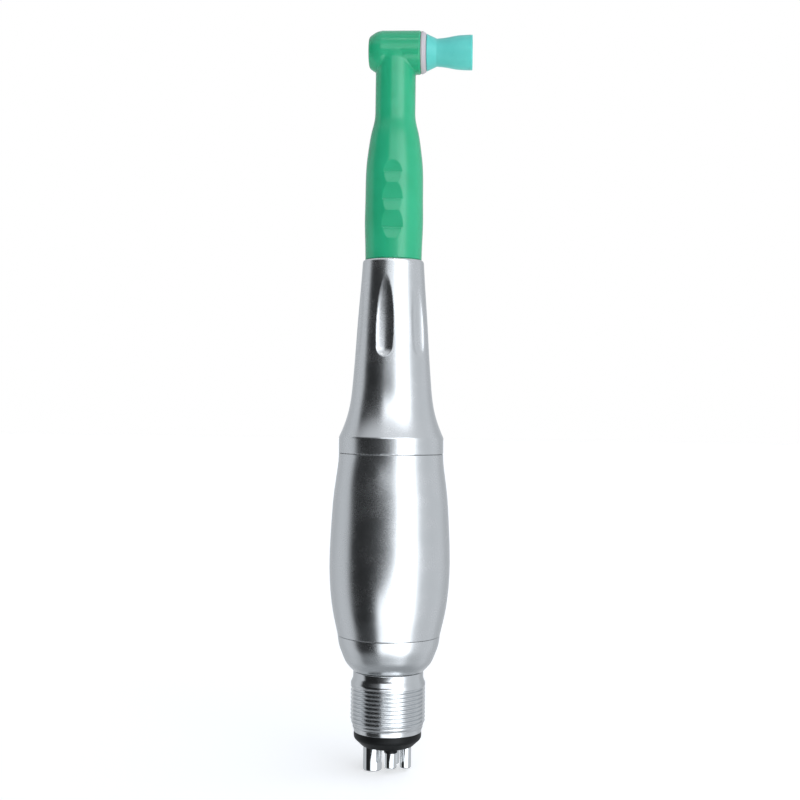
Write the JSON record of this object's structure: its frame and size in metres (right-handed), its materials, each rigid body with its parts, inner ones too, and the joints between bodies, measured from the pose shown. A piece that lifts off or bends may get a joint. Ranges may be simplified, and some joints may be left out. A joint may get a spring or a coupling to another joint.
{
  "type": "dental hygiene handpiece",
  "caption": "Slender air-driven dental hygiene handpiece with a satin metal body, threaded swivel hose connector, and a green right-angle prophy head with a soft cup.",
  "frame": {"origin": "centre of the connector gasket's rear face, where the hose coupling seats", "axes": "+Z along the handpiece's long axis from the hose end to the head, +X the way the prophy cup points, +Y to the back of the object as seen with the cup pointing right"},
  "size_m": [0.0218, 0.0192, 0.1178],
  "materials": {
    "satin_casing": "satin, finely blasted",
    "connector_metal": "turned, semi-bright",
    "tube_steel": "polished",
    "machined_steel": "turned",
    "bearing_steel": "ground and polished",
    "gear_steel": "hardened, ground",
    "spring_steel": "dark spring steel",
    "brass_collar": "turned",
    "black_rubber": "matte",
    "vane_composite": "fibre composite",
    "brown_cage": "moulded",
    "green_plastic": "moulded, semi-gloss",
    "pale_plastic": "moulded, semi-gloss",
    "white_plastic": "moulded",
    "turquoise_rubber": "soft elastomer, satin"
  },
  "bodies": {
    "connector": {"connector_body": "connector_metal", "connector_gasket": "black_rubber", "exhaust_tube": "tube_steel", "drive_air_tube": "tube_steel", "water_tube": "tube_steel", "chip_air_tube": "tube_steel", "swivel_o_rings": "black_rubber", "swivel_snap_ring": "spring_steel"},
    "handpiece": {"rear_cap": "satin_casing", "barrel": "satin_casing", "nose_cone": "satin_casing", "rear_end_plate": "machined_steel", "motor_cylinder": "machined_steel", "front_end_plate": "machined_steel", "locating_pin": "bearing_steel", "barrel_o_rings": "black_rubber", "rotor_bearing_outer_races": "bearing_steel", "spindle_bearing_outer_races": "bearing_steel", "ring_gear": "gear_steel", "nose_tube": "machined_steel", "bearing_spacer": "machined_steel", "preload_washer": "spring_steel", "bearing_snap_ring": "spring_steel"},
    "rotor": {"rotor": "gear_steel", "rotor_vanes": "vane_composite", "sun_pinion": "gear_steel", "rotor_bearing_inner_races": "bearing_steel"},
    "rear_rotor_bearing": {"rear_rotor_bearing_balls": "bearing_steel", "rear_rotor_bearing_cage": "brown_cage"},
    "front_rotor_bearing": {"front_rotor_bearing_balls": "bearing_steel", "front_rotor_bearing_cage": "brown_cage"},
    "output_spindle": {"planet_carrier": "machined_steel", "carrier_plate": "machined_steel", "planet_pins": "bearing_steel", "spindle": "machined_steel", "chuck_collet": "spring_steel", "chuck_collar": "brass_collar", "spindle_bearing_inner_races": "bearing_steel"},
    "rear_spindle_bearing": {"rear_spindle_bearing_balls": "bearing_steel", "rear_spindle_bearing_cage": "brown_cage"},
    "front_spindle_bearing": {"front_spindle_bearing_balls": "bearing_steel", "front_spindle_bearing_cage": "brown_cage"},
    "planet_1": {"planet_gear_1": "gear_steel"},
    "planet_2": {"planet_gear_2": "gear_steel"},
    "planet_3": {"planet_gear_3": "gear_steel"},
    "nose_ring": {"nose_o_ring": "black_rubber"},
    "prophy_angle": {"angle_body": "green_plastic", "head_collar": "pale_plastic", "shaft_bush": "white_plastic"},
    "angle_shaft": {"angle_drive_shaft": "white_plastic"},
    "cup": {"cup_gear": "white_plastic", "prophy_cup": "turquoise_rubber"}
  },
  "joints": [
    {"name": "swivel", "type": "hinge", "parent": "connector", "child": "handpiece", "pos_m": [0, 0, 0.01605], "axis": [0, 0, 1], "continuous": true},
    {"name": "rotor_spin", "type": "hinge", "parent": "handpiece", "child": "rotor", "pos_m": [0, 0, 0.02955], "axis": [0, 0, 1], "continuous": true},
    {"name": "rear_rotor_bearing_spin", "type": "hinge", "parent": "handpiece", "child": "rear_rotor_bearing", "pos_m": [0, 0, 0.02155], "axis": [0, 0, 1], "continuous": true},
    {"name": "front_rotor_bearing_spin", "type": "hinge", "parent": "handpiece", "child": "front_rotor_bearing", "pos_m": [0, 0, 0.03755], "axis": [0, 0, 1], "continuous": true},
    {"name": "spindle_spin", "type": "hinge", "parent": "handpiece", "child": "output_spindle", "pos_m": [0, 0, 0.05465], "axis": [0, 0, 1], "continuous": true},
    {"name": "rear_spindle_bearing_spin", "type": "hinge", "parent": "handpiece", "child": "rear_spindle_bearing", "pos_m": [0, 0, 0.04815], "axis": [0, 0, 1], "continuous": true},
    {"name": "front_spindle_bearing_spin", "type": "hinge", "parent": "handpiece", "child": "front_spindle_bearing", "pos_m": [0, 0, 0.0586], "axis": [0, 0, 1], "continuous": true},
    {"name": "planet_1_spin", "type": "hinge", "parent": "output_spindle", "child": "planet_1", "pos_m": [0.004, 0, 0.04185], "axis": [0, 0, 1], "continuous": true},
    {"name": "planet_2_spin", "type": "hinge", "parent": "output_spindle", "child": "planet_2", "pos_m": [-0.002, 0.00346, 0.04185], "axis": [0, 0, 1], "continuous": true},
    {"name": "planet_3_spin", "type": "hinge", "parent": "output_spindle", "child": "planet_3", "pos_m": [-0.002, -0.00346, 0.04185], "axis": [0, 0, 1], "continuous": true},
    {"name": "angle_turn", "type": "hinge", "parent": "handpiece", "child": "nose_ring", "pos_m": [0, 0, 0.06865], "axis": [0, 0, 1], "continuous": true},
    {"name": "angle_pull", "type": "slide", "parent": "nose_ring", "child": "prophy_angle", "axis": [0, 0, 1], "range_m": [0, 0.02]},
    {"name": "angle_shaft_spin", "type": "hinge", "parent": "prophy_angle", "child": "angle_shaft", "pos_m": [0, 0, 0.08965], "axis": [0, 0, 1], "continuous": true},
    {"name": "cup_spin", "type": "hinge", "parent": "prophy_angle", "child": "cup", "pos_m": [0.003, 0, 0.11055], "axis": [1, 0, 0], "continuous": true}
  ],
  "couplings": [
    {"joint": "spindle_spin", "follows": "rotor_spin", "ratio": 0.25},
    {"joint": "rear_rotor_bearing_spin", "follows": "rotor_spin", "ratio": 0.38182},
    {"joint": "front_rotor_bearing_spin", "follows": "rotor_spin", "ratio": 0.38182},
    {"joint": "rear_spindle_bearing_spin", "follows": "rotor_spin", "ratio": 0.10208},
    {"joint": "front_spindle_bearing_spin", "follows": "rotor_spin", "ratio": 0.10208},
    {"joint": "planet_1_spin", "follows": "rotor_spin", "ratio": -0.75},
    {"joint": "planet_2_spin", "follows": "rotor_spin", "ratio": -0.75},
    {"joint": "planet_3_spin", "follows": "rotor_spin", "ratio": -0.75},
    {"joint": "angle_shaft_spin", "follows": "rotor_spin", "ratio": 0.25},
    {"joint": "cup_spin", "follows": "rotor_spin", "ratio": 0.20833}
  ]
}
